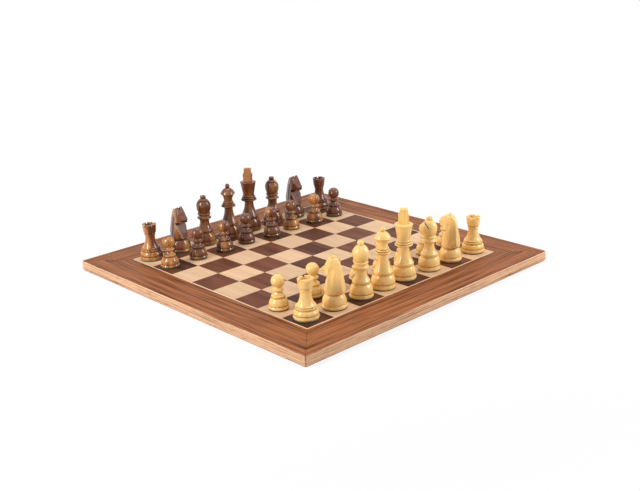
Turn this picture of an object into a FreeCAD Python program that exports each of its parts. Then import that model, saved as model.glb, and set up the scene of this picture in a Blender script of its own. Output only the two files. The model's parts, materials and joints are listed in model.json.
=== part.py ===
import FreeCAD, Part
import math
import os
from collections import namedtuple

# A flat veneered chess board and its thirty-two turned chessmen, set out for the start of a game.
# Millimetres. +Z is up, +X runs along the files from a to h, +Y from the light side to the dark side.
# The origin is the middle of the board's underside.

# Board
FILES = "abcdefgh"
STANDING_ROOM = 9.3
INLAY_WIDTH = 1.6
BORDER_WIDTH = 44.4
LIPPING_WIDTH = 9.0
CORE_THICKNESS = 11.2
VENEER_THICKNESS = 0.6
VENEER_JOINT = 0.1
EDGE_ARRIS = 0.8
CORNER_ROUND = 2.0

# Foot that every man is turned with, and the felt under it
FELT_THICKNESS = 1.2
FELT_INSET = 0.2
FOOT_UNDERCUT = 0.6
PLINTH_EDGE_RISE = 1.8
PLINTH_TAPER = 0.7
LINE_DEPTH = 0.8
LINE_WIDTH = 0.8
GROOVE_DEPTH = 0.7
GROOVE_RISE = 1.0
BEAD_RISE = 3.8
BEAD_SWELL = 0.8

# Collar under the head of the king, the queen and the bishop
COLLAR_COVE_RISE = 2.0
COLLAR_COVE_BOW = 0.5
COLLAR_EDGE_RISE = 2.0
COLLAR_SWELL = 0.8
RING_RISE = 2.4
RING_SWELL = 0.7
RING_STEP = 1.0
STEM_BOW = 1.3

# King
KING_FOOT_DIAMETER = 29.2
KING_PLINTH_SIDE = 3.0
KING_SHOULDER_INSET = 3.3
KING_SHOULDER_RISE = 9.1
KING_STEM_RADIUS = 5.8
KING_STEM_RISE = 17.4
KING_COLLAR_RADIUS = 10.4
KING_CROWN_NECK_RADIUS = 7.1
KING_CROWN_RADIUS = 10.1
KING_CROWN_RISE = 17.0
KING_RIM_RISE = 0.8
KING_DOME_RISE = 1.0
KING_DOME_BOW = 0.3
KING_SEAT_RADIUS = 5.6

# King's finial: a tapered shaft with a notched wing on each side, pegged into the crown
FINIAL_FOOT_WIDTH = 8.0
FINIAL_SHAFT_WIDTH = 9.2
FINIAL_TOP_WIDTH = 8.6
FINIAL_THICKNESS = 7.6
FINIAL_WING_SPAN = 12.2
FINIAL_WING_THICKNESS = 5.0
FINIAL_NOTCH_DEPTH = 0.7
FINIAL_FOOT_RISE = 2.2
FINIAL_LOWER_WING_RISE = 2.6
FINIAL_UPPER_WING_RISE = 4.4
FINIAL_SHOULDER_RISE = 2.2
FINIAL_TOP_RISE = 5.2
PEG_RADIUS = 2.0
PEG_LENGTH = 6.0
PEG_CLEARANCE = 0.1

# Queen
QUEEN_FOOT_DIAMETER = 28.8
QUEEN_PLINTH_SIDE = 3.0
QUEEN_SHOULDER_INSET = 3.5
QUEEN_SHOULDER_RISE = 9.1
QUEEN_STEM_RADIUS = 5.4
QUEEN_STEM_RISE = 18.0
QUEEN_COLLAR_RADIUS = 9.4
QUEEN_NECK_RADIUS = 5.7
QUEEN_CORONET_RADIUS = 9.0
QUEEN_CORONET_RISE = 10.0
QUEEN_CORONET_BOW = 1.3
QUEEN_RIM_RISE = 0.7
QUEEN_DOME_RISE = 7.2
QUEEN_DOME_BOW = 1.2
QUEEN_BALL_RADIUS = 3.0
QUEEN_BALL_OVERHANG = 1.0

# Bishop
BISHOP_FOOT_DIAMETER = 27.0
BISHOP_PLINTH_SIDE = 2.7
BISHOP_SHOULDER_INSET = 3.6
BISHOP_SHOULDER_RISE = 9.3
BISHOP_STEM_RADIUS = 6.0
BISHOP_STEM_RISE = 11.4
BISHOP_COLLAR_RADIUS = 8.9
BISHOP_THROAT_RADIUS = 7.0
BISHOP_THROAT_RISE = 2.6
BISHOP_THROAT_BOW = 0.4
BISHOP_RING_SWELL = 1.2
BISHOP_RING_RISE = 3.0
BISHOP_MITRE_RADIUS = 9.1
BISHOP_MITRE_BELLY_RISE = 8.4
BISHOP_MITRE_TIP_RISE = 9.9
BISHOP_BUTTON_RADIUS = 3.2
BISHOP_BUTTON_OVERHANG = 0.4
BISHOP_BUTTON_RISE = 3.5
BISHOP_BUTTON_SWELL = 0.4
MITRE_CUT_WIDTH = 1.0
MITRE_CUT_SLOPE = 55.0
MITRE_CUT_START = 3.3
MITRE_CUT_DROP = 1.6

# Rook
ROOK_FOOT_DIAMETER = 28.2
ROOK_PLINTH_SIDE = 2.4
ROOK_SHOULDER_INSET = 2.8
ROOK_SHOULDER_RISE = 4.7
ROOK_BEAD_RISE = 2.0
ROOK_BEAD_STEP = 0.6
ROOK_BODY_STEP = 0.4
ROOK_NECK_RADIUS = 6.0
ROOK_BODY_RISE = 14.6
ROOK_BODY_BOW = 1.2
ROOK_RING_RISE = 1.6
ROOK_FLARE_RISE = 1.0
ROOK_FLARE_BOW = 0.3
ROOK_CROWN_FOOT_RADIUS = 7.6
ROOK_CROWN_RADIUS = 8.5
ROOK_CROWN_RISE = 9.5
ROOK_WALL = 2.7
ROOK_RECESS_DEPTH = 3.0
ROOK_NOTCH_WIDTH = 2.2
ROOK_NOTCH_DEPTH = 1.9
ROOK_CROSS_CUTS = 3

# Pawn
PAWN_FOOT_DIAMETER = 22.6
PAWN_PLINTH_SIDE = 1.5
PAWN_SHOULDER_INSET = 3.7
PAWN_SHOULDER_RISE = 7.7
PAWN_BEAD_RISE = 2.0
PAWN_STEM_RADIUS = 4.1
PAWN_STEM_RISE = 3.6
PAWN_STEM_BOW = 0.4
PAWN_COLLAR_RADIUS = 6.5
PAWN_COLLAR_COVE_RISE = 1.4
PAWN_COLLAR_EDGE_RISE = 1.9
PAWN_NECK_RADIUS = 4.3
PAWN_NECK_RISE = 2.4
PAWN_NECK_BOW = 0.3
PAWN_BALL_RADIUS = 7.4

# Knight's turned foot
KNIGHT_FOOT_DIAMETER = 28.0
KNIGHT_PLINTH_SIDE = 1.8
KNIGHT_SHOULDER_INSET = 4.0
KNIGHT_SHOULDER_RISE = 10.3

# Knight's carved body, seen from the side: forward of the axis, and above the turned foot
KNIGHT_TAIL = (-13.4, 0.0)
KNIGHT_BACK = (-12.2, 12.0)
KNIGHT_MANE = (-9.6, 28.6)
KNIGHT_CREST = (-7.2, 34.9)
KNIGHT_POLL = (-4.0, 37.7)
KNIGHT_EAR_ROOT = (0.0, 37.3)
KNIGHT_EAR_TIP = (3.0, 40.6)
KNIGHT_BROW = (5.4, 35.9)
KNIGHT_BRIDGE = (7.4, 31.6)
KNIGHT_NOSE = (11.8, 28.0)
KNIGHT_MUZZLE = (13.2, 24.8)
KNIGHT_LIP = (12.2, 22.2)
KNIGHT_CHIN = (10.2, 20.8)
KNIGHT_JAW = (4.6, 21.6)
KNIGHT_THROAT = (0.0, 20.6)
KNIGHT_CHEST_TOP = (6.4, 18.2)
KNIGHT_CHEST = (8.2, 9.0)
KNIGHT_BREAST = (11.0, 0.0)

# Knight's carved body, seen from the front: half widths, and heights above the turned foot
KNIGHT_FLANK_HALF_WIDTH = 11.4
KNIGHT_NECK_HALF_WIDTH = 7.9
KNIGHT_NECK_HEIGHT = 20.0
KNIGHT_HEAD_HALF_WIDTH = 5.9
KNIGHT_HEAD_HEIGHT = 32.8
KNIGHT_EAR_HALF_WIDTH = 4.4
KNIGHT_EAR_GAP = 2.4
KNIGHT_MUZZLE_HALF_WIDTH = 3.7
KNIGHT_CHEEK_HALF_WIDTH = 6.4
KNIGHT_MANE_HALF_WIDTH = 2.6
KNIGHT_MANE_START = -3.4
KNIGHT_CHEST_HALF_WIDTH = 4.2
KNIGHT_CHEST_START = 0.5
KNIGHT_STOCK_INSET = 0.6
KNIGHT_SKIRT_RISE = 4.5
KNIGHT_HOLLOW_RADIUS = 8.0
KNIGHT_HOLLOW_DEPTH = 1.3
KNIGHT_HOLLOW_SET_BACK = 3.4
KNIGHT_HOLLOW_HEIGHT = 27.0
KNIGHT_EYE_RADIUS = 0.9
KNIGHT_MOUTH_WIDTH = 0.7
KNIGHT_MOUTH_LENGTH = 4.2

# Where each man stands: east and north of its square's middle, and how many degrees it is turned
# from facing the other side
Stand = namedtuple("Stand", "east north turn")
LIGHT_FACING = 0.0
DARK_FACING = 180.0
STANDS = {
    "a1": Stand(-1.7, 0.7, 0), "b1": Stand(0.1, -0.1, 9), "c1": Stand(1.8, -1.0, -45),
    "d1": Stand(0.0, 0.8, 0), "e1": Stand(-2.6, 2.0, -45), "f1": Stand(1.2, 0.5, 46),
    "g1": Stand(2.4, 1.4, -4), "h1": Stand(5.8, 0.3, 15),
    "a2": Stand(-3.7, 2.8, 0), "b2": Stand(6.6, 1.2, 0), "f2": Stand(-0.5, 0.5, 0),
    "a7": Stand(-4.5, 3.9, 0), "b7": Stand(-1.1, 3.1, 0), "c7": Stand(0.0, 1.0, 0),
    "d7": Stand(-1.0, 4.3, 0), "f7": Stand(-1.5, 3.5, 0), "g7": Stand(-0.2, 0.9, 0),
    "h7": Stand(-0.8, 1.8, 0),
    "a8": Stand(-2.7, 6.0, 20), "b8": Stand(-0.4, 3.0, 8), "c8": Stand(-0.6, 0.6, -45),
    "e8": Stand(-1.2, 3.8, -45), "f8": Stand(-0.7, 2.0, -45), "g8": Stand(-0.5, 1.9, 2),
    "h8": Stand(7.4, 0.5, 0),
}

# Layout worked out from the sizes above
UP = FreeCAD.Vector(0, 0, 1)
ORIGIN = FreeCAD.Vector(0, 0, 0)
SIDES = ("front", "right", "back", "left")
BACK_ROW = ("rook", "knight", "bishop", "queen", "king", "bishop", "knight", "rook")
SQUARE = KING_FOOT_DIAMETER + STANDING_ROOM
FIELD_HALF = len(FILES) * SQUARE / 2
INLAY_HALF = FIELD_HALF + INLAY_WIDTH
BOARD_HALF = INLAY_HALF + BORDER_WIDTH
VENEER_HALF = BOARD_HALF - EDGE_ARRIS
CORE_HALF = BOARD_HALF - LIPPING_WIDTH
CORE_TOP = VENEER_THICKNESS + CORE_THICKNESS
BOARD_TOP = CORE_TOP + VENEER_THICKNESS
KNIGHT_STOCK_RADIUS = KNIGHT_FOOT_DIAMETER / 2 - KNIGHT_STOCK_INSET
KNIGHT_STOCK_LENGTH = 4 * KNIGHT_STOCK_RADIUS
KNIGHT_SKIRT_RADIUS = KNIGHT_FOOT_DIAMETER / 2 - KNIGHT_SHOULDER_INSET


# Board pieces

def plate(half, bottom, thickness):
    """A square plate centred on the origin."""
    corner = FreeCAD.Vector(-half, -half, bottom)
    return Part.makeBox(2 * half, 2 * half, thickness, corner)


def rounded_plate(half, bottom, thickness):
    """A square plate with its four upright corners rounded."""
    square = plate(half, bottom, thickness)
    upright = [edge for edge in square.Edges if edge.BoundBox.ZLength > thickness / 2]
    return square.makeFillet(CORNER_ROUND, upright)


def quarter(side):
    """The quarter of the plan that belongs to one side of the board, up to the mitres."""
    reach = 2 * BOARD_HALF
    apex = FreeCAD.Vector(0, -VENEER_JOINT, 0)
    left = apex + FreeCAD.Vector(-reach, -reach, 0)
    right = apex + FreeCAD.Vector(reach, -reach, 0)
    wedge = Part.Face(Part.makePolygon([apex, left, right, apex]))
    prism = wedge.extrude(UP * BOARD_TOP)
    prism.rotate(ORIGIN, UP, 360 / len(SIDES) * side)
    return prism


def mitred(ring):
    """A square ring cut into its front, right, back and left strips."""
    return [ring.common(quarter(side)).Solids[0] for side in range(len(SIDES))]


def edge_lippings():
    block = rounded_plate(BOARD_HALF, VENEER_THICKNESS, CORE_THICKNESS)
    level = [edge for edge in block.Edges if edge.BoundBox.ZLength < CORE_THICKNESS / 2]
    block = block.makeChamfer(EDGE_ARRIS, level)
    return mitred(block.cut(core_panel()))


def core_panel():
    return plate(CORE_HALF, VENEER_THICKNESS, CORE_THICKNESS)


def backing_veneer():
    return rounded_plate(VENEER_HALF, 0, VENEER_THICKNESS)


def border_veneers():
    whole = rounded_plate(VENEER_HALF, CORE_TOP, VENEER_THICKNESS)
    return mitred(whole.cut(plate(INLAY_HALF, CORE_TOP, VENEER_THICKNESS)))


def inlay_lines():
    whole = plate(INLAY_HALF - VENEER_JOINT, CORE_TOP, VENEER_THICKNESS)
    return mitred(whole.cut(plate(FIELD_HALF, CORE_TOP, VENEER_THICKNESS)))


def middle_of(square):
    """The middle of a named square, on top of the board."""
    file = FILES.index(square[0])
    rank = int(square[1]) - 1
    east = (file + 0.5) * SQUARE - FIELD_HALF
    north = (rank + 0.5) * SQUARE - FIELD_HALF
    return FreeCAD.Vector(east, north, BOARD_TOP)


def square_veneers(parity):
    """The veneers of one colour: a square is dark where file and rank add up to an even number."""
    side = SQUARE - VENEER_JOINT
    tiles = []
    for file in range(len(FILES)):
        for rank in range(len(FILES)):
            if (file + rank) % 2 == parity:
                middle = middle_of(FILES[file] + str(rank + 1))
                corner = middle - FreeCAD.Vector(side / 2, side / 2, VENEER_THICKNESS)
                tiles.append(Part.makeBox(side, side, VENEER_THICKNESS, corner))
    return tiles


# Lathe outlines

class Outline:
    """The outline of a turned piece, drawn upward from its sole as radius and height."""

    def __init__(self, height):
        self.start = FreeCAD.Vector(0, 0, height)
        self.here = self.start
        self.edges = []

    def line(self, radius, rise=0.0):
        there = FreeCAD.Vector(radius, 0, self.here.z + rise)
        self.edges.append(Part.makeLine(self.here, there))
        self.here = there

    def through(self, middle, there):
        self.edges.append(Part.Arc(self.here, middle, there).toShape())
        self.here = there

    def arc(self, radius, rise, bow):
        """Curve to a radius. A positive bow swells outward, a negative one hollows."""
        there = FreeCAD.Vector(radius, 0, self.here.z + rise)
        chord = there - self.here
        outward = FreeCAD.Vector(chord.z, 0, -chord.x).normalize()
        self.through((self.here + there) * 0.5 + outward * bow, there)

    def bead(self, rise, swell):
        self.arc(self.here.x, rise, swell)

    def swell_to(self, radius, rise):
        """Curve outward to a wider radius, arriving upright."""
        self.upright_arc(FreeCAD.Vector(radius, 0, self.here.z + rise), self.here)

    def close_to(self, radius, rise):
        """Leave upright and curve inward to a narrower radius."""
        self.upright_arc(self.here, FreeCAD.Vector(radius, 0, self.here.z + rise))

    def upright_arc(self, widest, other):
        """The arc between two points that is upright at the wider one."""
        inward = widest.x - other.x
        apart = abs(widest.z - other.z)
        radius = (inward ** 2 + apart ** 2) / (2 * inward)
        centre = widest - FreeCAD.Vector(radius, 0, 0)
        half_angle = math.atan2(apart, radius - inward) / 2
        tilt = math.copysign(half_angle, other.z - widest.z)
        middle = centre + FreeCAD.Vector(math.cos(tilt), 0, math.sin(tilt)) * radius
        there = other if self.here == widest else widest
        self.through(middle, there)

    def ball(self, radius):
        """Finish with a ball that grows out of the neck below it."""
        centre = self.here + FreeCAD.Vector(-self.here.x, 0, math.sqrt(radius ** 2 - self.here.x ** 2))
        self.through(centre + FreeCAD.Vector(radius, 0, 0), centre + UP * radius)

    def spin(self):
        """Close the outline on the axis and turn it into a solid."""
        if self.here.x > 0:
            self.line(0)
        self.edges.append(Part.makeLine(self.here, self.start))
        return Part.Face(Part.Wire(self.edges)).revolve(ORIGIN, UP, 360)


def foot(diameter, plinth_side, shoulder_inset, shoulder_rise):
    """Start a man: its plinth, a fine line, its belly up to the shoulder, and the groove above."""
    belly_radius = diameter / 2 - PLINTH_TAPER
    shoulder_radius = diameter / 2 - shoulder_inset
    outline = Outline(FELT_THICKNESS)
    outline.line(diameter / 2 - FOOT_UNDERCUT)
    outline.swell_to(diameter / 2, PLINTH_EDGE_RISE)
    outline.line(belly_radius, plinth_side)
    outline.line(belly_radius - LINE_DEPTH)
    outline.line(belly_radius - LINE_DEPTH, LINE_WIDTH)
    outline.line(belly_radius)
    outline.close_to(shoulder_radius, shoulder_rise)
    outline.line(shoulder_radius - GROOVE_DEPTH)
    outline.line(shoulder_radius - GROOVE_DEPTH, GROOVE_RISE)
    return outline


def stem(outline, radius, rise):
    """The bead above the foot, and the hollow stem that narrows from it."""
    outline.bead(BEAD_RISE, BEAD_SWELL)
    outline.arc(radius, rise, -STEM_BOW)


def collar(outline, radius, cove_rise, edge_rise):
    """A flared collar with a rounded edge."""
    edge_radius = radius - COLLAR_SWELL
    outline.arc(edge_radius, cove_rise, -COLLAR_COVE_BOW)
    outline.bead(edge_rise, COLLAR_SWELL)


def rings(outline, radius):
    """Two rings above a collar, the upper one narrower, down to a neck."""
    for step in (2 * RING_STEP, RING_STEP):
        outline.line(radius + step - RING_SWELL)
        outline.bead(RING_RISE, RING_SWELL)
    outline.line(radius)


def felt_disc(diameter):
    return Part.makeCylinder(diameter / 2 - FOOT_UNDERCUT - FELT_INSET, FELT_THICKNESS)


# Chessmen, each on its own axis with its felt at height nought, facing north

def king():
    outline = foot(KING_FOOT_DIAMETER, KING_PLINTH_SIDE, KING_SHOULDER_INSET, KING_SHOULDER_RISE)
    stem(outline, KING_STEM_RADIUS, KING_STEM_RISE)
    collar(outline, KING_COLLAR_RADIUS, COLLAR_COVE_RISE, COLLAR_EDGE_RISE)
    rings(outline, KING_CROWN_NECK_RADIUS)
    outline.line(KING_CROWN_RADIUS, KING_CROWN_RISE)
    outline.bead(KING_RIM_RISE, KING_RIM_RISE / 2)
    outline.arc(KING_SEAT_RADIUS, KING_DOME_RISE, KING_DOME_BOW)
    seat = outline.here.z
    body = outline.spin()
    hole = Part.makeCylinder(PEG_RADIUS + PEG_CLEARANCE, PEG_LENGTH + PEG_CLEARANCE)
    hole.translate(UP * (seat - PEG_LENGTH - PEG_CLEARANCE))
    return body.cut(hole), king_finial(seat)


def king_finial(seat):
    """The shaft, its wings and its peg, standing on the crown."""
    wing_foot = seat + FINIAL_FOOT_RISE
    notch = wing_foot + FINIAL_LOWER_WING_RISE
    shoulder = notch + FINIAL_UPPER_WING_RISE
    neck = shoulder + FINIAL_SHOULDER_RISE
    top = neck + FINIAL_TOP_RISE
    shaft = block_through(
        [(FINIAL_FOOT_WIDTH, seat), (FINIAL_SHAFT_WIDTH, wing_foot),
         (FINIAL_SHAFT_WIDTH, neck), (FINIAL_TOP_WIDTH, top)], FINIAL_THICKNESS)
    notch_span = FINIAL_WING_SPAN - 2 * FINIAL_NOTCH_DEPTH
    wings = block_through(
        [(FINIAL_FOOT_WIDTH, seat), (FINIAL_WING_SPAN, wing_foot), (notch_span, notch),
         (FINIAL_WING_SPAN, notch + FINIAL_NOTCH_DEPTH), (FINIAL_WING_SPAN, shoulder),
         (FINIAL_SHAFT_WIDTH, neck)], FINIAL_WING_THICKNESS)
    peg = Part.makeCylinder(PEG_RADIUS, PEG_LENGTH)
    peg.translate(UP * (seat - PEG_LENGTH))
    return shaft.fuse([wings, peg]).removeSplitter()


def block_through(widths, thickness):
    """A flat block that is as wide as asked at each height, and equally thick all over."""
    right = [FreeCAD.Vector(width / 2, -thickness / 2, height) for width, height in widths]
    left = [FreeCAD.Vector(-point.x, point.y, point.z) for point in reversed(right)]
    outline = Part.makePolygon(right + left + right[:1])
    return Part.Face(outline).extrude(FreeCAD.Vector(0, thickness, 0))


def queen():
    outline = foot(QUEEN_FOOT_DIAMETER, QUEEN_PLINTH_SIDE, QUEEN_SHOULDER_INSET, QUEEN_SHOULDER_RISE)
    stem(outline, QUEEN_STEM_RADIUS, QUEEN_STEM_RISE)
    collar(outline, QUEEN_COLLAR_RADIUS, COLLAR_COVE_RISE, COLLAR_EDGE_RISE)
    rings(outline, QUEEN_NECK_RADIUS)
    outline.arc(QUEEN_CORONET_RADIUS, QUEEN_CORONET_RISE, -QUEEN_CORONET_BOW)
    outline.bead(QUEEN_RIM_RISE, QUEEN_RIM_RISE / 2)
    outline.arc(QUEEN_BALL_RADIUS - QUEEN_BALL_OVERHANG, QUEEN_DOME_RISE, QUEEN_DOME_BOW)
    outline.ball(QUEEN_BALL_RADIUS)
    return outline.spin(), None


def bishop():
    outline = foot(BISHOP_FOOT_DIAMETER, BISHOP_PLINTH_SIDE, BISHOP_SHOULDER_INSET, BISHOP_SHOULDER_RISE)
    stem(outline, BISHOP_STEM_RADIUS, BISHOP_STEM_RISE)
    collar(outline, BISHOP_COLLAR_RADIUS, COLLAR_COVE_RISE, COLLAR_EDGE_RISE)
    outline.line(BISHOP_THROAT_RADIUS + RING_SWELL)
    outline.arc(BISHOP_THROAT_RADIUS, BISHOP_THROAT_RISE, -BISHOP_THROAT_BOW)
    outline.bead(BISHOP_RING_RISE, BISHOP_RING_SWELL)
    outline.swell_to(BISHOP_MITRE_RADIUS, BISHOP_MITRE_BELLY_RISE)
    belly = outline.here.z
    outline.close_to(BISHOP_BUTTON_RADIUS - BISHOP_BUTTON_OVERHANG, BISHOP_MITRE_TIP_RISE)
    outline.line(BISHOP_BUTTON_RADIUS)
    outline.bead(BISHOP_BUTTON_RISE, BISHOP_BUTTON_SWELL)
    return outline.spin().cut(mitre_cut(belly)), None


def mitre_cut(belly):
    """The slanting saw cut in the front of the mitre."""
    reach = 2 * BISHOP_MITRE_RADIUS
    cut = Part.makeBox(reach, reach, MITRE_CUT_WIDTH, FreeCAD.Vector(-reach / 2, MITRE_CUT_START, 0))
    cut.rotate(ORIGIN, FreeCAD.Vector(1, 0, 0), MITRE_CUT_SLOPE)
    cut.translate(UP * (belly - MITRE_CUT_DROP))
    return cut


def rook():
    outline = foot(ROOK_FOOT_DIAMETER, ROOK_PLINTH_SIDE, ROOK_SHOULDER_INSET, ROOK_SHOULDER_RISE)
    outline.bead(ROOK_BEAD_RISE, BEAD_SWELL)
    outline.line(outline.here.x - ROOK_BEAD_STEP)
    outline.bead(ROOK_BEAD_RISE, BEAD_SWELL)
    outline.line(outline.here.x - ROOK_BODY_STEP)
    outline.arc(ROOK_NECK_RADIUS, ROOK_BODY_RISE, -ROOK_BODY_BOW)
    outline.bead(ROOK_RING_RISE, RING_SWELL)
    outline.bead(ROOK_RING_RISE, RING_SWELL)
    outline.arc(ROOK_CROWN_FOOT_RADIUS, ROOK_FLARE_RISE, ROOK_FLARE_BOW)
    outline.line(ROOK_CROWN_RADIUS, ROOK_CROWN_RISE)
    top = outline.here.z
    body = outline.spin()
    recess = Part.makeCylinder(ROOK_CROWN_RADIUS - ROOK_WALL, ROOK_RECESS_DEPTH)
    recess.translate(UP * (top - ROOK_RECESS_DEPTH))
    return body.cut([recess] + rook_notches(top)), None


def rook_notches(top):
    """Cuts right across the crown, which leave two notches each in its wall."""
    length = 3 * ROOK_CROWN_RADIUS
    corner = FreeCAD.Vector(-length / 2, -ROOK_NOTCH_WIDTH / 2, top - ROOK_NOTCH_DEPTH)
    notches = []
    for turn in range(ROOK_CROSS_CUTS):
        cut = Part.makeBox(length, ROOK_NOTCH_WIDTH, ROOK_NOTCH_DEPTH, corner)
        cut.rotate(ORIGIN, UP, 180 / ROOK_CROSS_CUTS * turn)
        notches.append(cut)
    return notches


def pawn():
    outline = foot(PAWN_FOOT_DIAMETER, PAWN_PLINTH_SIDE, PAWN_SHOULDER_INSET, PAWN_SHOULDER_RISE)
    outline.bead(PAWN_BEAD_RISE, BEAD_SWELL)
    outline.arc(PAWN_STEM_RADIUS, PAWN_STEM_RISE, -PAWN_STEM_BOW)
    collar(outline, PAWN_COLLAR_RADIUS, PAWN_COLLAR_COVE_RISE, PAWN_COLLAR_EDGE_RISE)
    outline.arc(PAWN_NECK_RADIUS, PAWN_NECK_RISE, -PAWN_NECK_BOW)
    outline.ball(PAWN_BALL_RADIUS)
    return outline.spin(), None


# Knight

def knight():
    outline = foot(KNIGHT_FOOT_DIAMETER, KNIGHT_PLINTH_SIDE, KNIGHT_SHOULDER_INSET, KNIGHT_SHOULDER_RISE)
    body = knight_body()
    body.translate(UP * outline.here.z)
    return outline.spin().fuse(body).removeSplitter(), None


def knight_body():
    """The carved horse, standing on height nought and facing north."""
    body = knight_side().common(knight_front()).common(knight_plan())
    cuts = [ear_gap(), mouth()]
    for side in (-1, 1):
        cuts += [muzzle_taper(side), mane_taper(side), chest_taper(side), neck_hollow(side), eye(side)]
    return body.cut(cuts)


def side_point(place):
    forward, height = place
    return FreeCAD.Vector(0, forward, height)


def side_arc(first, middle, last):
    return Part.Arc(side_point(first), side_point(middle), side_point(last)).toShape()


def side_lines(*places):
    return Part.makePolygon([side_point(place) for place in places]).Edges


def knight_side():
    """The horse's outline from the side, right through the widest body."""
    edges = [side_arc(KNIGHT_TAIL, KNIGHT_BACK, KNIGHT_MANE)]
    edges += side_lines(KNIGHT_MANE, KNIGHT_CREST, KNIGHT_POLL)
    edges += side_lines(KNIGHT_POLL, KNIGHT_EAR_ROOT, KNIGHT_EAR_TIP, KNIGHT_BROW)
    edges.append(side_arc(KNIGHT_BROW, KNIGHT_BRIDGE, KNIGHT_NOSE))
    edges.append(side_arc(KNIGHT_NOSE, KNIGHT_MUZZLE, KNIGHT_LIP))
    edges += side_lines(KNIGHT_LIP, KNIGHT_CHIN)
    edges.append(side_arc(KNIGHT_CHIN, KNIGHT_JAW, KNIGHT_THROAT))
    edges += side_lines(KNIGHT_THROAT, KNIGHT_CHEST_TOP)
    edges.append(side_arc(KNIGHT_CHEST_TOP, KNIGHT_CHEST, KNIGHT_BREAST))
    edges += side_lines(KNIGHT_BREAST, KNIGHT_TAIL)
    face = Part.Face(Part.Wire(edges))
    face.translate(FreeCAD.Vector(-KNIGHT_FLANK_HALF_WIDTH, 0, 0))
    return face.extrude(FreeCAD.Vector(2 * KNIGHT_FLANK_HALF_WIDTH, 0, 0))


def knight_front():
    """The horse's outline from the front, right through the longest body."""
    ear_top = KNIGHT_EAR_TIP[1]
    half = [(KNIGHT_FLANK_HALF_WIDTH, 0), (KNIGHT_NECK_HALF_WIDTH, KNIGHT_NECK_HEIGHT),
            (KNIGHT_HEAD_HALF_WIDTH, KNIGHT_HEAD_HEIGHT), (KNIGHT_EAR_HALF_WIDTH, ear_top)]
    widths = [(2 * width, height) for width, height in half]
    return block_through(widths, KNIGHT_STOCK_LENGTH)


def knight_plan():
    """The round stock that the horse is carved from, with a rounded skirt at the bottom."""
    outline = Outline(0)
    outline.line(KNIGHT_SKIRT_RADIUS)
    outline.swell_to(KNIGHT_STOCK_RADIUS, KNIGHT_SKIRT_RISE)
    outline.line(KNIGHT_STOCK_RADIUS, KNIGHT_EAR_TIP[1])
    return outline.spin()


def ear_gap():
    corner = FreeCAD.Vector(-KNIGHT_EAR_GAP / 2, -KNIGHT_STOCK_LENGTH / 2, KNIGHT_EAR_ROOT[1])
    return Part.makeBox(KNIGHT_EAR_GAP, KNIGHT_STOCK_LENGTH, KNIGHT_EAR_TIP[1], corner)


def mouth():
    """The slit between the lips."""
    lip = side_point(KNIGHT_LIP)
    muzzle = side_point(KNIGHT_MUZZLE)
    middle = (lip + muzzle) * 0.5
    corner = FreeCAD.Vector(-KNIGHT_STOCK_RADIUS, middle.y - KNIGHT_MOUTH_LENGTH, middle.z)
    return Part.makeBox(2 * KNIGHT_STOCK_RADIUS, 2 * KNIGHT_MOUTH_LENGTH, KNIGHT_MOUTH_WIDTH, corner)


def neck_hollow(side):
    """The long scoop between the mane and the cheek on one side."""
    inset = KNIGHT_HOLLOW_RADIUS - KNIGHT_HOLLOW_DEPTH
    low = FreeCAD.Vector(side * (KNIGHT_FLANK_HALF_WIDTH + inset), -KNIGHT_HOLLOW_SET_BACK, 0)
    high = FreeCAD.Vector(side * (KNIGHT_HEAD_HALF_WIDTH + inset), -KNIGHT_HOLLOW_SET_BACK,
                          KNIGHT_HOLLOW_HEIGHT)
    along = high - low
    scoop = Part.makeCylinder(KNIGHT_HOLLOW_RADIUS, along.Length, low, along)
    end = Part.makeSphere(KNIGHT_HOLLOW_RADIUS, high)
    return scoop.fuse(end)


def flank_cut(side, start, end, bottom, top):
    """All that lies outside a slanting plane from start to end, each a half width and a forward place."""
    outside = 2 * KNIGHT_STOCK_RADIUS
    beyond = 2 * end[1]
    plan = [start, end, (end[0], beyond), (outside, beyond), (outside, start[1]), start]
    points = [FreeCAD.Vector(side * width, forward, bottom) for width, forward in plan]
    return Part.Face(Part.makePolygon(points)).extrude(UP * (top - bottom))


def muzzle_taper(side):
    """The cut beside the face, from the cheek to the muzzle."""
    cheek = (KNIGHT_CHEEK_HALF_WIDTH, KNIGHT_BROW[0])
    tip = (KNIGHT_MUZZLE_HALF_WIDTH, KNIGHT_MUZZLE[0])
    return flank_cut(side, cheek, tip, KNIGHT_CHEST_TOP[1], KNIGHT_EAR_TIP[1])


def mane_taper(side):
    """The cut behind the neck that draws it in to the ridge of the mane."""
    flank = (KNIGHT_FLANK_HALF_WIDTH, KNIGHT_MANE_START)
    ridge = (KNIGHT_MANE_HALF_WIDTH, KNIGHT_TAIL[0])
    return flank_cut(side, flank, ridge, 0, KNIGHT_EAR_TIP[1])


def chest_taper(side):
    """The cut that brings the chest to its narrow front."""
    flank = (KNIGHT_FLANK_HALF_WIDTH, KNIGHT_CHEST_START)
    front = (KNIGHT_CHEST_HALF_WIDTH, KNIGHT_BREAST[0])
    return flank_cut(side, flank, front, 0, KNIGHT_CHEST_TOP[1])


def eye(side):
    forward = (KNIGHT_BROW[0] + KNIGHT_EAR_ROOT[0]) / 2
    height = (KNIGHT_HEAD_HEIGHT + KNIGHT_BROW[1]) / 2
    centre = FreeCAD.Vector(side * KNIGHT_HEAD_HALF_WIDTH, forward, height)
    return Part.makeSphere(KNIGHT_EYE_RADIUS, centre)


# Setting out and writing the pieces

MAN = {"king": king, "queen": queen, "bishop": bishop, "knight": knight, "rook": rook, "pawn": pawn}
FOOT_DIAMETER = {
    "king": KING_FOOT_DIAMETER, "queen": QUEEN_FOOT_DIAMETER, "bishop": BISHOP_FOOT_DIAMETER,
    "knight": KNIGHT_FOOT_DIAMETER, "rook": ROOK_FOOT_DIAMETER, "pawn": PAWN_FOOT_DIAMETER,
}


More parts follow.
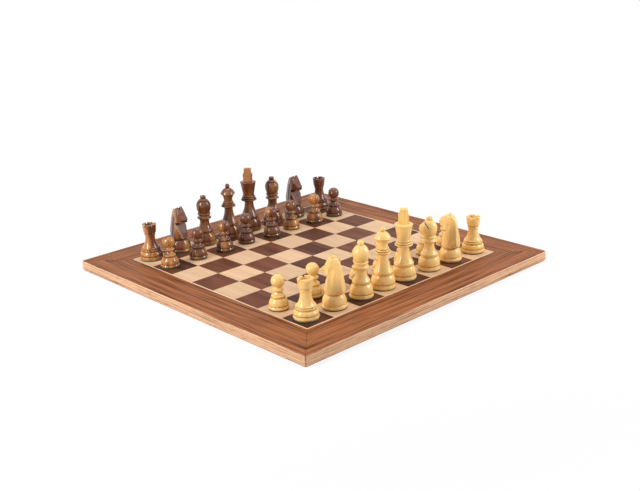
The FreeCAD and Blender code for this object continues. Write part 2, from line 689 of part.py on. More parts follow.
def write(node, solids):
    shape = solids[0] if len(solids) == 1 else Part.makeCompound(solids)
    shape.exportStep(os.path.join("parts", node + ".step"))


def set_on(shape, square, facing):
    """A copy of a man's piece, turned and standing on its square."""
    stand = STANDS.get(square, Stand(0, 0, 0))
    placed = shape.copy()
    placed.rotate(ORIGIN, UP, facing + stand.turn)
    placed.translate(middle_of(square) + FreeCAD.Vector(stand.east, stand.north, 0))
    return placed


def write_man(side, kind, square, facing):
    """One man and its felt; a pawn shares its node with its felt, and a king brings its finial."""
    letter = "_" + square[0] if kind == "pawn" or BACK_ROW.count(kind) > 1 else ""
    node = side + "_" + kind + letter
    body, finial = MAN[kind]()
    body = set_on(body, square, facing)
    felt = set_on(felt_disc(FOOT_DIAMETER[kind]), square, facing)
    if kind == "pawn":
        write(node, [body, felt])
        return
    write(node, [body])
    write(node + "_felt", [felt])
    if finial:
        write(node + "_finial", [set_on(finial, square, facing)])


def write_men():
    for file, kind in zip(FILES, BACK_ROW):
        write_man("light", kind, file + "1", LIGHT_FACING)
        write_man("light", "pawn", file + "2", LIGHT_FACING)
        write_man("dark", "pawn", file + "7", DARK_FACING)
        write_man("dark", kind, file + "8", DARK_FACING)


def write_board():
    write("core_panel", [core_panel()])
    write("backing_veneer", [backing_veneer()])
    write("border_veneers", border_veneers())
    write("inlay_lines", inlay_lines())
    write("dark_squares", square_veneers(0))
    write("light_squares", square_veneers(1))
    for side, strip in zip(SIDES, edge_lippings()):
        write("edge_lipping_" + side, [strip])


os.makedirs("parts", exist_ok=True)
write_board()
write_men()
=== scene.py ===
import json
import math

import bpy
from bpy.props import FloatProperty, FloatVectorProperty, PointerProperty
from mathutils import Matrix, Vector

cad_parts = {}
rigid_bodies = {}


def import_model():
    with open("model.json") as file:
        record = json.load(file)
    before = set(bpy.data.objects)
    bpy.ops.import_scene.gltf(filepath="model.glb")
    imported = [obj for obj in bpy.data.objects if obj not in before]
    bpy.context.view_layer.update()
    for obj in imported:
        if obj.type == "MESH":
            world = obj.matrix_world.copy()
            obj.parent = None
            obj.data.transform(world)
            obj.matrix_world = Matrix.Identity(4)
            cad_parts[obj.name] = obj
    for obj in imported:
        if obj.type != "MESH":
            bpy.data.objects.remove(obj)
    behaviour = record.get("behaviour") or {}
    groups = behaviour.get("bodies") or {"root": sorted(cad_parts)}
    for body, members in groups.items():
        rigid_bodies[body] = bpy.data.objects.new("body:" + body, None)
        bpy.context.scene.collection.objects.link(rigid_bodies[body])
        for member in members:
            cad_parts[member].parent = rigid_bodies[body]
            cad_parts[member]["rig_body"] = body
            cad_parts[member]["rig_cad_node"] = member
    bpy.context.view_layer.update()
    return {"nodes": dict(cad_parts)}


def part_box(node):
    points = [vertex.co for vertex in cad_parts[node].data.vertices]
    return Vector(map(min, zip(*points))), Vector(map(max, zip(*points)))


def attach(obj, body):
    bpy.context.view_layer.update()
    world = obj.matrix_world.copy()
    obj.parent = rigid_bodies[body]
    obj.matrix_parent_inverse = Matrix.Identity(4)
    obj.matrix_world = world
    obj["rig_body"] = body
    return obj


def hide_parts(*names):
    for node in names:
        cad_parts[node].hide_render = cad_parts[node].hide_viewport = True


# A flat veneered chess board and its turned chessmen, finished in wood and felt for a studio picture.
# Metres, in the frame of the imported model: +Z up, +X from file a to file h, +Y from light to dark.

bl_info = {
    "name": "Chess board and men",
    "version": (1, 0, 0),
    "blender": (4, 5, 0),
    "location": "View3D > Sidebar > Chess",
    "description": "Finishes a veneered chess board and its turned men, and sets the studio round them",
    "category": "Object",
}

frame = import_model()
NODES = frame["nodes"]

FILES = 8
FIELD_LOW, FIELD_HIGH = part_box("dark_squares")
SQUARE = (FIELD_HIGH.x - FIELD_LOW.x) / FILES
EDGE_LOW, EDGE_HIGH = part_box("edge_lipping_front")
FELT_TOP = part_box("light_king_felt")[1].z

# How the knights are turned, in degrees, and where they are cut: places from the middle of the waist
# of a knight that faces +Y, on its right side
KNIGHTS = {"light_knight_b": 9, "light_knight_g": -4, "dark_knight_b": 188, "dark_knight_g": 182}
HORSE_HEIGHT = 0.0406
POLL = Vector((0.0012, -0.0085, 0.0340))
CHEEK = Vector((0.0068, 0.0020, 0.0340))
RUMP = Vector((0.0050, -0.0125, 0.0010))
THROAT = Vector((0, 0.0026, 0.0205))
BREAST = Vector((0, 0.0110, 0))
WAIST_FLATTENING = 0.38
RING_STEPS = (96, 24)
MANE_REACH = 4
MANE_OVERSHOOT = 0.4
CUT_WIDTH = 0.03
CUT_DEPTH = 0.02
JOINED_WITHIN = 1e-5
SANDING_STRENGTH = 0.5
SANDING_PASSES = 4

# What the finishes share: the gloss of wood below its lacquer, the depth of its grain, the dark lines at the
# mitres, the width of the painted highlight along the top arris, how far a groove reaches, how shut in it
# must be for painted shade to darken it and by how much, and the felt
LOW_GLOSS = 0.1
GRAIN_DEPTH = 0.0001
MITRE_HALF_WIDTH = 0.0004
ARRIS_HIGHLIGHT_WIDTH = 0.0010
GROOVE_REACH = 0.002
GROOVE_SHUT = (0.22, 0.70)
GROOVE_SHADE = 0.8
FELT_ROUGHNESS = 0.95
FELT_DEPTH = 0.0003
FELT_SEAM = 0.00002

# The floor lies just below the board. It glows by this share near the board, so that shadows show on it, and
# wholly beyond; the squares of the distances bound the change.
LAYING_GAP = 0.0004
FLOOR_GLOW = 0.80
FLOOR_TOOTH = 0.02
FLOOR_FADE = (0.10, 0.35)

# Lamps: the setting for their power, how far right of, behind and above the board's middle they hang as the
# camera sees it, and their width and height
SOFTBOX = (0.26, 0.28)
LAMPS = {
    "left_low_softbox": ("left_lamp", (-0.90, -0.60, 0.40), SOFTBOX),
    "left_high_softbox": ("left_lamp", (-0.90, -0.60, 0.72), SOFTBOX),
    "right_low_softbox": ("right_lamp", (0.95, -0.10, 0.40), SOFTBOX),
    "right_high_softbox": ("right_lamp", (0.95, -0.10, 0.72), SOFTBOX),
    "top_softbox": ("top_lamp", (0, 0.35, 1.7), (1.2, 1.0)),
}
LAMP_AIM = Vector((0, 0, 0.04))


# Settings a user would change

def colour(name, description, default):
    """A colour that a user can change."""
    return FloatVectorProperty(
        name=name, description=description, subtype="COLOR", min=0, max=1, default=default)


class BoardFinish(bpy.types.PropertyGroup):
    """Colours of the board's woods."""
    light_square: colour("Light squares", "Maple of the light squares", (0.70, 0.46, 0.285))
    dark_square: colour("Dark squares", "Walnut of the dark squares", (0.122, 0.040, 0.020))
    inlay: colour("Inlay line", "Maple of the line round the field", (0.80, 0.58, 0.36))
    border: colour("Border", "Walnut of the border", (0.42, 0.148, 0.055))
    border_streak: colour("Border streaks", "Dark streaks in the border", (0.070, 0.020, 0.008))
    edge: colour("Edges", "Wood of the edge lippings", (0.75, 0.45, 0.268))
    edge_streak: colour("Edge streaks", "Dark streaks in the edge lippings", (0.21, 0.098, 0.058))


class MenFinish(bpy.types.PropertyGroup):
    """Colours and sizes of the men's finish."""
    boxwood: colour("Boxwood", "Wood of the light men", (0.92, 0.60, 0.210))
    boxwood_ring: colour("Boxwood rings", "Growth rings of the light men", (0.74, 0.40, 0.100))
    heartwood: colour("Heartwood", "Wood of the dark men", (0.160, 0.048, 0.017))
    heartwood_ring: colour("Heartwood rings", "Dark growth rings of the dark men", (0.060, 0.016, 0.007))
    sapwood: colour("Sapwood", "Golden streaks of the dark men", (0.60, 0.26, 0.066))
    # Painted shade: the next two colours darken the men's grooves where they are shut in, standing in for the
    # shade that falls there
    light_groove_shade: colour("Light grooves", "Wax in the grooves of the light men", (0.40, 0.155, 0.030))
    dark_groove_shade: colour("Dark grooves", "Wax in the grooves of the dark men", (0.026, 0.008, 0.004))
    light_finial: colour("Light finial", "Bare wood on the light king", (0.94, 0.61, 0.190))
    dark_finial: colour("Dark finial", "Bare wood on the dark king", (0.42, 0.175, 0.062))
    felt: colour("Felt", "Felt under the men", (0.016, 0.105, 0.050))
    coat: FloatProperty(name="Lacquer", description="Share of clear lacquer on the men",
                        default=0.85, min=0, max=1)
    carving_grain: FloatProperty(name="Carving grain", description="Finest detail kept on the carved knights",
                                 default=0.00030, min=0.0002, unit="LENGTH")
    waist_radius: FloatProperty(name="Waist", description="Radius of the ring that cuts the knights' waists",
                                default=0.0106, unit="LENGTH")
    waist_groove: FloatProperty(name="Waist groove", description="Depth of that ring's section",
                                default=0.0026, unit="LENGTH")


class Studio(bpy.types.PropertyGroup):
    """Camera, lamps and floor."""
    camera_place: FloatVectorProperty(name="Camera", description="Where the camera stands",
                                      subtype="TRANSLATION", unit="LENGTH",
                                      default=(-0.7781, -0.8361, 0.4205))
    camera_turn: FloatProperty(name="Azimuth", description="Which way the camera looks", subtype="ANGLE",
                               default=math.radians(-43.409))
    camera_tilt: FloatProperty(name="Elevation", description="How far the camera looks down", subtype="ANGLE",
                               default=math.radians(19.095))
    camera_roll: FloatProperty(name="Roll", description="How far the camera leans", subtype="ANGLE",
                               default=math.radians(-1.735))
    lens: FloatProperty(name="Lens", description="Focal length in millimetres", default=56.087, min=10)
    floor_size: FloatProperty(name="Floor", description="Side of the floor", default=12.0, unit="LENGTH")
    left_lamp: FloatProperty(name="Left lamps", description="Power of each left softbox in watts",
                             default=5.0, min=0)
    right_lamp: FloatProperty(name="Right lamps", description="Power of each right softbox in watts",
                              default=3.4, min=0)
    top_lamp: FloatProperty(name="Top lamp", description="Power of the overhead softbox in watts",
                            default=10.0, min=0)
    room_light: FloatProperty(name="Room", description="Brightness of the room", default=0.36, min=0)


# Finishes, written as nodes. The factors on a place are features to the metre.

class Value:
    """A node's output. Sums written on it add Math nodes to its finish."""

    def __init__(self, finish, socket):
        self.finish = finish
        self.socket = socket

    def math(self, operation, *terms):
        return self.finish.node("ShaderNodeMath", {"operation": operation}, dict(enumerate(terms)))

    def __add__(self, other):
        return self.math("ADD", self, other)

    def __sub__(self, other):
        return self.math("SUBTRACT", self, other)

    def __rsub__(self, other):
        return self.math("SUBTRACT", other, self)

    def __mul__(self, other):
        return self.math("MULTIPLY", self, other)

    def __gt__(self, other):
        return self.math("GREATER_THAN", self, other)

    def __lt__(self, other):
        return self.math("LESS_THAN", self, other)

    def __abs__(self):
        return self.math("ABSOLUTE", self)

    __radd__ = __add__
    __rmul__ = __mul__


class Finish:
    """A material, or the world round the scene, and the nodes that make it."""

    def __init__(self, name, kind="materials"):
        self.material = getattr(bpy.data, kind).new(name)
        self.material.use_nodes = True
        self.tree = self.material.node_tree
        self.tree.nodes.clear()

    def node(self, kind, settings, inputs, output=0):
        made = self.tree.nodes.new(kind)
        for name, setting in settings.items():
            setattr(made, name, setting)
        for name, value in inputs.items():
            if isinstance(value, Value):
                self.tree.links.new(value.socket, made.inputs[name])
            else:
                made.inputs[name].default_value = value
        return Value(self, made.outputs[output]) if made.outputs else None

    def place(self):
        """Where a point of the piece lies, as x, y and z."""
        where = self.node("ShaderNodeTexCoord", {}, {}, "Object")
        return [self.node("ShaderNodeSeparateXYZ", {}, {0: where}, axis) for axis in "XYZ"]

    def vector(self, x, y, z):
        return self.node("ShaderNodeCombineXYZ", {}, {0: x, 1: y, 2: z})

    def noise(self, x, y, z, detail=2.0, distortion=0.0):
        """A cloudy value from nought to one, with features one unit apart."""
        inputs = {"Vector": self.vector(x, y, z), "Scale": 1.0, "Detail": detail, "Distortion": distortion}
        return self.node("ShaderNodeTexNoise", {}, inputs)

    def chance(self, x, y, z):
        """A value that is the same all over one cell and another in the next."""
        return self.node("ShaderNodeTexWhiteNoise", {}, {"Vector": self.vector(x, y, z)})

    def ease(self, value, low, high):
        """Nought below low, one above high, and smooth between."""
        inputs = {"Value": value, "From Min": low, "From Max": high}
        return self.node("ShaderNodeMapRange", {"interpolation_type": "SMOOTHSTEP"}, inputs)

    def blend(self, share, first, second):
        """One colour where share is nought, the other where it is one."""
        inputs = {0: share, 6: self.opaque(first), 7: self.opaque(second)}
        return self.node("ShaderNodeMix", {"data_type": "RGBA"}, inputs, 2)

    def shade(self, tint, brightness):
        """A colour made darker or lighter."""
        return self.node("ShaderNodeHueSaturation", {}, {"Color": self.opaque(tint), "Value": brightness})

    def bump(self, height, strength, distance=GRAIN_DEPTH):
        return self.node("ShaderNodeBump", {}, {"Height": height, "Strength": strength, "Distance": distance})

    def shown(self):
        """One for what the camera sees, straight or in a mirror or through glass, and nought for light."""
        kinds = ("Camera", "Glossy", "Transmission")
        straight, mirrored, through = [
            self.node("ShaderNodeLightPath", {}, {}, f"Is {kind} Ray") for kind in kinds]
        return self.node(
            "ShaderNodeMath", {"operation": "ADD", "use_clamp": True}, {0: straight + mirrored, 1: through})

    def grooves(self):
        """One deep in a turned or carved groove, nought on open faces."""
        # The men's finishes use this mask to paint shade into their grooves
        settings = {"only_local": True, "samples": 8}
        open_sky = self.node("ShaderNodeAmbientOcclusion", settings, {"Distance": GROOVE_REACH}, "AO")
        return self.ease(1 - open_sky, *GROOVE_SHUT)

    def surface(self, **sockets):
        inputs = {name.replace("_", " "): value for name, value in sockets.items()}
        shader = self.node("ShaderNodeBsdfPrincipled", {}, inputs)
        self.node("ShaderNodeOutputMaterial", {}, {"Surface": shader})
        return self.material

    @staticmethod
    def opaque(tint):
        return tint if isinstance(tint, Value) else (*tint[:3], 1.0)


def give(material, *names):
    """Finish CAD pieces with a material."""
    for name in names:
        for slot in NODES[name].material_slots:
            slot.material = material


def floor_of(value):
    """The whole number at or below a value."""
    return value.math("FLOOR", value)


def square_veneer(name, tint, contrast, seed):
    """Veneer squares, each cut from another place of the sheet, with the grain running along Y."""
    finish = Finish(name)
    x, y, _ = finish.place()
    own = finish.chance(floor_of(x * (1 / SQUARE)), floor_of(y * (1 / SQUARE)), seed)
    shift = own * 40
    figure = finish.ease(finish.noise(x * 90 + shift, y * 8 + shift, shift, 2.0, 0.4), 0.28, 0.72)
    fibre = finish.noise(x * 1500 + shift, y * 55, shift, 2.0)
    pores = finish.ease(finish.noise(x * 2400, y * 190, shift, 1.0), 0.60, 0.72)
    tone = 1 + (figure - 0.5) * contrast + (fibre - 0.5) * (contrast * 0.4)
    tone = tone - pores * (contrast * 0.15) + (own - 0.5) * (contrast * 0.8)
    roughness = 0.40 + fibre * 0.16
    bump = finish.bump(fibre - pores, 0.12)
    return finish.surface(
        Base_Color=finish.shade(tint, tone), Roughness=roughness, Normal=bump, Specular_IOR_Level=LOW_GLOSS)


def along_side(x, y):
    """Places along and across the side of the board that a point belongs to, and nearness to a mitre."""
    on_left_or_right = abs(x) > abs(y)
    along = y * on_left_or_right + x * (1 - on_left_or_right)
    across = x * on_left_or_right + y * (1 - on_left_or_right)
    mitre = abs(abs(x) - abs(y)) < MITRE_HALF_WIDTH
    return along, across, mitre


def border_veneer(settings):
    """Walnut with straight grain along each side and a fine dark line at the mitres."""
    finish = Finish("walnut_border")
    x, y, _ = finish.place()
    along, across, mitre = along_side(x, y)
    wander = finish.noise(along * 7, across * 14, 3.0, 1.0) * 0.006
    band = finish.ease(finish.noise((across + wander) * 130, along * 2.0, 1.0, 2.0), 0.34, 0.66)
    streak = finish.ease(finish.noise((across + wander) * 420, along * 12, 7.0, 2.0), 0.38, 0.68)
    fibre = finish.noise(across * 2200, along * 70, 5.0, 2.0)
    tint = finish.blend(band * 0.38 + streak * 0.62, settings.border, settings.border_streak)
    tone = 0.95 + (fibre - 0.5) * 0.60 - mitre * 0.35
    bump = finish.bump(fibre - streak * 0.5, 0.15)
    return finish.surface(
        Base_Color=finish.shade(tint, tone), Roughness=0.40 + fibre * 0.16, Normal=bump,
        Specular_IOR_Level=LOW_GLOSS)


def edge_wood(settings):
    """Long-grained lippings with darker streaks, a painted highlight along the top edge and dark mitres."""
    finish = Finish("edge_lipping_wood")
    x, y, z = finish.place()
    along, across, mitre = along_side(x, y)
    level = z - EDGE_LOW.z
    wander = finish.noise(along * 12, level * 90, 2.0, 1.0) * 0.0022
    band = finish.noise(along * 5, (level + wander) * 380, across * 200, 2.0)
    streak = finish.ease(finish.noise(along * 11, (level + wander) * 950, across * 400, 2.0), 0.50, 0.70)
    fibre = finish.noise(along * 130, level * 3600, across * 3600, 2.0)
    fleck = finish.ease(finish.noise(along * 60, (level + wander) * 1100, across * 600, 2.0), 0.52, 0.74)
    share = finish.ease(band, 0.40, 0.72) * 0.40 + streak * 0.58 + fleck * 0.60
    tint = finish.blend(share, settings.edge, settings.edge_streak)
    top = EDGE_HIGH.z - EDGE_LOW.z
    # Painted highlight: the top of the lippings is made lighter along the arris, as if it caught the light
    arris_highlight = finish.ease(level, top - ARRIS_HIGHLIGHT_WIDTH, top - ARRIS_HIGHLIGHT_WIDTH / 2)
    tone = 0.98 + (fibre - 0.5) * 0.40 + arris_highlight * 0.18 - mitre * 0.6
    bump = finish.bump(fibre - streak * 0.4, 0.15)
    return finish.surface(
        Base_Color=finish.shade(tint, tone), Roughness=0.45 + fibre * 0.16, Normal=bump,
        Specular_IOR_Level=LOW_GLOSS)


def plain_wood(name, tint, roughness):
    """Quiet straight-grained wood, for what shows little."""
    finish = Finish(name)
    x, y, z = finish.place()
    figure = finish.noise(x * 150, y * 8, z * 150, 3.0)
    fibre = finish.noise(x * 1700, y * 60, z * 1700, 2.0)
    tone = 1 + (figure - 0.5) * 0.5 + (fibre - 0.5) * 0.35
    return finish.surface(
        Base_Color=finish.shade(tint, tone), Roughness=roughness + fibre * 0.12,
        Normal=finish.bump(fibre, 0.2))


def with_felt(finish, z, tint, roughness, coat, felt):
    """The same finish with the glued felt below it."""
    below = z < FELT_TOP - FELT_SEAM
    wood = 1 - below
    return finish.blend(below, tint, felt), roughness * wood + below * FELT_ROUGHNESS, coat * wood


def boxwood(settings, name, felted):
    """Pale lacquered wood with fine upright rings, and painted shade in its grooves."""
    finish = Finish(name)
    x, y, z = finish.place()
    rings = finish.noise(x * 210, y * 210, z * 11, 3.0, 0.4)
    cloud = finish.noise(x * 60, y * 60, z * 22, 2.0)
    fibre = finish.noise(x * 1500, y * 1500, z * 70, 2.0)
    share = finish.ease(rings, 0.38, 0.70) * 0.35 + (cloud - 0.4) * 0.5
    tint = finish.blend(share, settings.boxwood, settings.boxwood_ring)
    tint = finish.shade(tint, 1.02 + (fibre - 0.5) * 0.10)
    # Painted shade: shut-in grooves are darkened towards the light groove colour, standing in for their
    # shade, and lose their lacquer
    grooves = finish.grooves()
    tint = finish.blend(grooves * GROOVE_SHADE, tint, settings.light_groove_shade)
    roughness = 0.36 + fibre * 0.10
    coat = (1 - grooves) * settings.coat
    if felted:
        tint, roughness, coat = with_felt(finish, z, tint, roughness, coat, settings.felt)
    return finish.surface(
        Base_Color=tint, Roughness=roughness, Normal=finish.bump(fibre, 0.05),
        Coat_Weight=coat, Coat_Roughness=0.17, Specular_IOR_Level=LOW_GLOSS)


def dark_wood(settings, name, golden, felted):
    """Lacquered heartwood with dark rings, golden streaks and painted shade in its grooves; golden is the
    share of sapwood.
    """
    finish = Finish(name)
    x, y, z = finish.place()
    bend = finish.noise(x * 50, y * 50, z * 12, 1.0) * 0.005
    zones = finish.noise((x + bend) * 55, (y - bend) * 55, z * 9, 1.0, 0.3)
    rings = finish.noise((x + bend) * 300, (y - bend) * 300, z * 14, 2.0)
    fibre = finish.noise(x * 1700, y * 1700, z * 80, 2.0)
    gold = finish.ease(zones, 0.62 - golden * 0.40, 0.80 - golden * 0.40)
    tint = finish.blend(gold * 0.85, settings.heartwood, settings.sapwood)
    tint = finish.blend(finish.ease(rings, 0.45, 0.75) * 0.6, tint, settings.heartwood_ring)
    tint = finish.shade(tint, 1.0 + (fibre - 0.5) * 0.25)
    # Painted shade: shut-in grooves are darkened towards the dark groove colour, standing in for their shade,
    # and lose their lacquer
    grooves = finish.grooves()
    tint = finish.blend(grooves * GROOVE_SHADE, tint, settings.dark_groove_shade)
    roughness = 0.28 + fibre * 0.10
    coat = (1 - grooves) * settings.coat
    if felted:
        tint, roughness, coat = with_felt(finish, z, tint, roughness, coat, settings.felt)
    return finish.surface(
        Base_Color=tint, Roughness=roughness, Normal=finish.bump(fibre, 0.06),
        Coat_Weight=coat, Coat_Roughness=0.15, Specular_IOR_Level=LOW_GLOSS)


def bare_wood(name, tint):
    """Unlacquered straight-grained wood of a king's finial."""
    finish = Finish(name)
    x, y, z = finish.place()
    rings = finish.noise(x * 500, y * 500, z * 25, 2.0)
    fibre = finish.noise(x * 2200, y * 2200, z * 120, 2.0)
    tone = 1 + (rings - 0.5) * 0.35 + (fibre - 0.5) * 0.25
    return finish.surface(
        Base_Color=finish.shade(tint, tone), Roughness=0.55 + fibre * 0.2,
        Normal=finish.bump(fibre, 0.2))


def felt_cloth(settings):
    """Matted green fibres."""
    finish = Finish("green_felt")
    x, y, z = finish.place()
    mat = finish.noise(x * 900, y * 900, z * 900, 4.0)
    clumps = finish.noise(x * 160, y * 160, z * 160, 2.0)
    tone = 1 + (mat - 0.5) * 1.2 + (clumps - 0.5) * 0.5
    return finish.surface(
        Base_Color=finish.shade(settings.felt, tone), Roughness=FELT_ROUGHNESS, Sheen_Weight=0.4,
        Normal=finish.bump(mat, 0.6, FELT_DEPTH))


# What each dark man's blank was cut from: the share of golden sapwood in it, below nought for none at all
GOLDEN = {
    "dark_rook_a": 0.75, "dark_knight_b": 0.22, "dark_bishop_c": 0.25, "dark_queen": 0.00, "dark_king": 0.10,
    "dark_bishop_f": 0.30, "dark_knight_g": -0.30, "dark_rook_h": 0.25,
    "dark_pawn_a": 0.70, "dark_pawn_b": 0.55, "dark_pawn_c": 0.25, "dark_pawn_d": 0.15, "dark_pawn_e": 0.45,
    "dark_pawn_f": 0.50, "dark_pawn_g": 0.60, "dark_pawn_h": 0.35,
}


# Operators

class CHESS_OT_squares(bpy.types.Operator):
    """Veneer the field and lay the line round it"""
    bl_idname = "chess.squares"
    bl_label = "Squares and inlay"

    def execute(self, context):
        settings = context.scene.chess_board
        give(square_veneer("maple_squares", settings.light_square, contrast=0.14, seed=3.0), "light_squares")
        give(square_veneer("walnut_squares", settings.dark_square, contrast=0.70, seed=11.0), "dark_squares")
        give(plain_wood("maple_line", settings.inlay, roughness=0.40), "inlay_lines")
        return {"FINISHED"}


class CHESS_OT_frame(bpy.types.Operator):
    """Finish the border, the edge lippings and the panel under them"""
    bl_idname = "chess.frame"
    bl_label = "Border and edges"

    def execute(self, context):
        settings = context.scene.chess_board
        give(border_veneer(settings), "border_veneers")
        lippings = [name for name in NODES if name.startswith("edge_lipping")]
        give(edge_wood(settings), *lippings)
        give(plain_wood("backing_walnut", settings.border, roughness=0.5), "backing_veneer")
        give(plain_wood("core_board", settings.edge, roughness=0.8), "core_panel")
        return {"FINISHED"}


class CHESS_OT_light_men(bpy.types.Operator):
    """Finish the light men in boxwood"""
    bl_idname = "chess.light_men"
    bl_label = "Light men"

    def execute(self, context):
        settings = context.scene.chess_men
        men = [n for n in NODES if n.startswith("light_") and not n.endswith(("felt", "finial", "squares"))]
        pawns = [name for name in men if "pawn" in name]
        give(boxwood(settings, "boxwood", felted=False), *[name for name in men if name not in pawns])
        give(boxwood(settings, "boxwood_on_felt", felted=True), *pawns)
        return {"FINISHED"}


class CHESS_OT_dark_men(bpy.types.Operator):
    """Finish each dark man in its own piece of heartwood"""
    bl_idname = "chess.dark_men"
    bl_label = "Dark men"

    def execute(self, context):
        settings = context.scene.chess_men
        for name, golden in GOLDEN.items():
            give(dark_wood(settings, name + "_wood", golden, "pawn" in name), name)
        return {"FINISHED"}


class CHESS_OT_knights(bpy.types.Operator):
    """Undercut the knights' waists, slope their manes and chests, and sand the carving"""
    bl_idname = "chess.knights"
    bl_label = "Carved knights"

    def execute(self, context):
        first, *others = KNIGHTS
        pieces = {first: self.carve(first, context.scene.chess_men)}
        for name in others:
            pieces[name] = self.copy_of(pieces[first], name + "_carved")
            pieces[name].data.transform(self.stand(name) @ self.stand(first).inverted())
            pieces[name].data.materials[0] = NODES[name].material_slots[0].material
        for name, piece in pieces.items():
            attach(piece, name)
            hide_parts(name)
            name.split("_")[0] + "_man"
        return {"FINISHED"}

    @staticmethod
    def stand(name):
        """Where a knight's waist is and how it is turned."""
        low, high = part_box(name + "_felt")
        waist = Vector(((low.x + high.x) / 2, (low.y + high.y) / 2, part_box(name)[1].z - HORSE_HEIGHT))
        return Matrix.Translation(waist) @ Matrix.Rotation(math.radians(KNIGHTS[name]), 4, "Z")

    def carve(self, name, settings):
        """A finished copy of a CAD knight."""
        carved = self.copy_of(NODES[name], name + "_carved")
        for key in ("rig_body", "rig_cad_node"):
            del carved[key]
        carved.parent = None
        self.pick(carved)
        bpy.ops.object.mode_set(mode="EDIT")
        bpy.ops.mesh.select_all(action="SELECT")
        bpy.ops.mesh.remove_doubles(threshold=JOINED_WITHIN)
        bpy.ops.mesh.normals_make_consistent(inside=False)
        bpy.ops.object.mode_set(mode="OBJECT")
        self.close_skin(carved, settings.carving_grain)
        bpy.ops.mesh.primitive_torus_add(
            major_radius=settings.waist_radius, minor_radius=settings.waist_groove,
            major_segments=RING_STEPS[0], minor_segments=RING_STEPS[1])
        self.cut(carved, self.stand(name) @ Matrix.Scale(WAIST_FLATTENING, 4, (0, 0, 1)))
        for block in (self.mane_block(-1), self.mane_block(1), self.chest_block()):
            bpy.ops.mesh.primitive_cube_add(size=1)
            self.cut(carved, self.stand(name) @ block)
        self.close_skin(carved, settings.carving_grain)
        soften = carved.modifiers.new("Sanding", "SMOOTH")
        soften.factor = SANDING_STRENGTH
        soften.iterations = SANDING_PASSES
        bpy.ops.object.modifier_apply(modifier=soften.name)
        bpy.ops.object.shade_smooth()
        return carved

    @staticmethod
    def pick(piece):
        """Select one piece and no other."""
        bpy.ops.object.select_all(action="DESELECT")
        piece.select_set(True)
        bpy.context.view_layer.objects.active = piece

    @staticmethod
    def close_skin(carved, grain):
        """Make a knight one closed skin of even facets."""
        remesh = carved.modifiers.new("Skin", "REMESH")
        remesh.mode = "VOXEL"
        remesh.voxel_size = grain
        bpy.ops.object.modifier_apply(modifier=remesh.name)

    @staticmethod
    def block(middle, *edges):
        """What turns a cube of one metre into a block with these edges, its inner face centred on middle."""
        shape = Matrix(edges).transposed().to_4x4()
        shape.translation = middle + edges[-1] / 2
        return shape

    def mane_block(self, side):
        """What lies outside the slope from the ridge of the mane to one cheek."""
        poll, cheek, rump = [Vector((side * place.x, place.y, place.z)) for place in (POLL, CHEEK, RUMP)]
        forward, down = cheek - poll, rump - poll
        outward = (forward.cross(down) * -side).normalized() * CUT_DEPTH
        middle = (cheek + rump) / 2 - down * (MANE_OVERSHOOT / 2)
        return self.block(middle, forward * MANE_REACH, down * (1 + MANE_OVERSHOOT), outward)

    def chest_block(self):
        """What lies before the slope from the throat to the breast."""
        across, forward = Vector((CUT_WIDTH, 0, 0)), Vector((0, CUT_DEPTH, 0))
        return self.block((THROAT + BREAST) / 2, across, BREAST - THROAT, forward)

    def cut(self, carved, place):
        """Take the primitive just added, moved to its place, away from a knight."""
        cutter = bpy.context.object
        cutter.data.transform(place)
        bpy.ops.object.mode_set(mode="EDIT")
        bpy.ops.mesh.select_all(action="SELECT")
        bpy.ops.mesh.normals_make_consistent(inside=False)
        bpy.ops.object.mode_set(mode="OBJECT")
        self.pick(carved)
        boolean = carved.modifiers.new("Cut", "BOOLEAN")
        boolean.operation = "DIFFERENCE"
        boolean.object = cutter
        bpy.ops.object.modifier_apply(modifier=boolean.name)
        bpy.data.objects.remove(cutter)

    @staticmethod
    def copy_of(piece, name):
        """A copy with its own mesh."""
        copy = piece.copy()
        copy.data = piece.data.copy()
        copy.name = name
        copy.data.name = name
        bpy.context.scene.collection.objects.link(copy)
        return copy


class CHESS_OT_felts(bpy.types.Operator):
    """Cover the discs under the men with felt"""
    bl_idname = "chess.felts"
    bl_label = "Felts"

    def execute(self, context):
        discs = [name for name in NODES if name.endswith("_felt")]
        give(felt_cloth(context.scene.chess_men), *discs)
        return {"FINISHED"}


class CHESS_OT_finials(bpy.types.Operator):
    """Leave the kings' finials in bare wood"""
    bl_idname = "chess.finials"
    bl_label = "Finials"

    def execute(self, context):
        settings = context.scene.chess_men
        give(bare_wood("pale_bare_wood", settings.light_finial), "light_king_finial")
        give(bare_wood("tan_bare_wood", settings.dark_finial), "dark_king_finial")
        return {"FINISHED"}


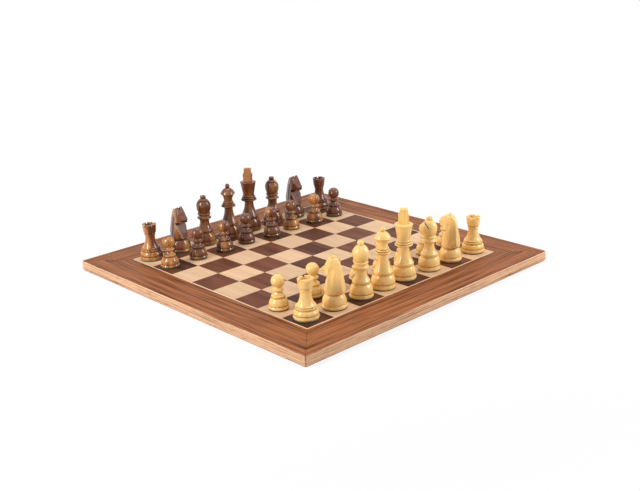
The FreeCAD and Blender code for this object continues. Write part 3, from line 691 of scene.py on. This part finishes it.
class CHESS_OT_studio(bpy.types.Operator):
    """Set up the floor, the lamps and the camera"""
    bl_idname = "chess.studio"
    bl_label = "Studio"

    def execute(self, context):
        settings = context.scene.chess_studio
        bpy.ops.object.select_all(action="DESELECT")
        self.lay_floor(settings)
        self.hang_lamps(settings)
        self.light_room(context.scene, settings)
        self.stand_camera(context.scene, settings)
        context.scene.view_settings.view_transform = "Standard"
        return {"FINISHED"}

    @staticmethod
    def lay_floor(settings):
        bpy.ops.mesh.primitive_plane_add(size=settings.floor_size, location=(0, 0, -LAYING_GAP))
        floor = bpy.context.object
        floor.name = "studio_floor"
        finish = Finish("white_paper")
        x, y, z = finish.place()
        tooth = finish.noise(x * 400, y * 400, z, 2.0)
        away = finish.ease(x * x + y * y, *FLOOR_FADE)
        paper = finish.node("ShaderNodeBsdfDiffuse", {}, {"Color": (0.9, 0.9, 0.9, 1), "Roughness": 1.0})
        glow = finish.node("ShaderNodeEmission", {}, {"Color": (1, 1, 1, 1), "Strength": 1.0})
        share = finish.shown() * (FLOOR_GLOW + tooth * FLOOR_TOOTH + away * (1 - FLOOR_GLOW))
        mixed = finish.node("ShaderNodeMixShader", {}, {0: share, 1: paper, 2: glow})
        finish.node("ShaderNodeOutputMaterial", {}, {"Surface": mixed})
        floor.data.materials.append(finish.material)

    @staticmethod
    def hang_lamps(settings):
        right = Vector((math.cos(settings.camera_turn), math.sin(settings.camera_turn), 0))
        forward = Vector((-right.y, right.x, 0))
        up = Vector((0, 0, 1))
        for name, (power, (aside, behind, above), size) in LAMPS.items():
            place = right * aside + forward * behind + up * above
            bpy.ops.object.light_add(type="AREA", location=place)
            lamp = bpy.context.object
            lamp.name = name
            lamp.rotation_euler = (LAMP_AIM - place).to_track_quat("-Z", "Y").to_euler()
            lamp.data.shape = "RECTANGLE"
            lamp.data.size, lamp.data.size_y = size
            lamp.data.energy = getattr(settings, power)

    @staticmethod
    def light_room(scene, settings):
        room = Finish("studio_room", "worlds")
        strength = room.shown() * (1 - settings.room_light) + settings.room_light
        light = room.node("ShaderNodeBackground", {}, {"Color": (1, 1, 1, 1), "Strength": strength})
        room.node("ShaderNodeOutputWorld", {}, {"Surface": light})
        scene.world = room.material

    @staticmethod
    def stand_camera(scene, settings):
        turn, tilt, roll = settings.camera_turn, settings.camera_tilt, settings.camera_roll
        right = Vector((math.cos(turn), math.sin(turn), 0))
        back = Vector((math.sin(turn) * math.cos(tilt), -math.cos(turn) * math.cos(tilt), math.sin(tilt)))
        up = back.cross(right)
        leaning_right = right * math.cos(roll) + up * math.sin(roll)
        leaning_up = up * math.cos(roll) - right * math.sin(roll)
        place = Matrix((leaning_right, leaning_up, back)).transposed().to_4x4()
        place.translation = settings.camera_place
        bpy.ops.object.camera_add()
        camera = bpy.context.object
        camera.name = "studio_camera"
        camera.matrix_world = place
        camera.data.lens = settings.lens
        scene.camera = camera


STEPS = (CHESS_OT_squares, CHESS_OT_frame, CHESS_OT_light_men, CHESS_OT_dark_men, CHESS_OT_knights,
         CHESS_OT_felts, CHESS_OT_finials, CHESS_OT_studio)


class CHESS_PT_sidebar(bpy.types.Panel):
    """The steps that finish the board and its men"""
    bl_label = "Chess board and men"
    bl_idname = "CHESS_PT_sidebar"
    bl_space_type = "VIEW_3D"
    bl_region_type = "UI"
    bl_category = "Chess"

    def draw(self, context):
        for step in STEPS:
            self.layout.operator(step.bl_idname)
        for settings in (context.scene.chess_board, context.scene.chess_men, context.scene.chess_studio):
            column = self.layout.column()
            for name in settings.__annotations__:
                column.prop(settings, name)


CLASSES = (BoardFinish, MenFinish, Studio, *STEPS, CHESS_PT_sidebar)


def register():
    for cls in CLASSES:
        bpy.utils.register_class(cls)
    bpy.types.Scene.chess_board = PointerProperty(type=BoardFinish)
    bpy.types.Scene.chess_men = PointerProperty(type=MenFinish)
    bpy.types.Scene.chess_studio = PointerProperty(type=Studio)


def unregister():
    del bpy.types.Scene.chess_board, bpy.types.Scene.chess_men, bpy.types.Scene.chess_studio
    for cls in reversed(CLASSES):
        bpy.utils.unregister_class(cls)


def main():
    register()
    bpy.ops.chess.squares()
    bpy.ops.chess.frame()
    bpy.ops.chess.light_men()
    bpy.ops.chess.dark_men()
    bpy.ops.chess.knights()
    bpy.ops.chess.felts()
    bpy.ops.chess.finials()
    bpy.ops.chess.studio()


if __name__ == "__main__":
    main()
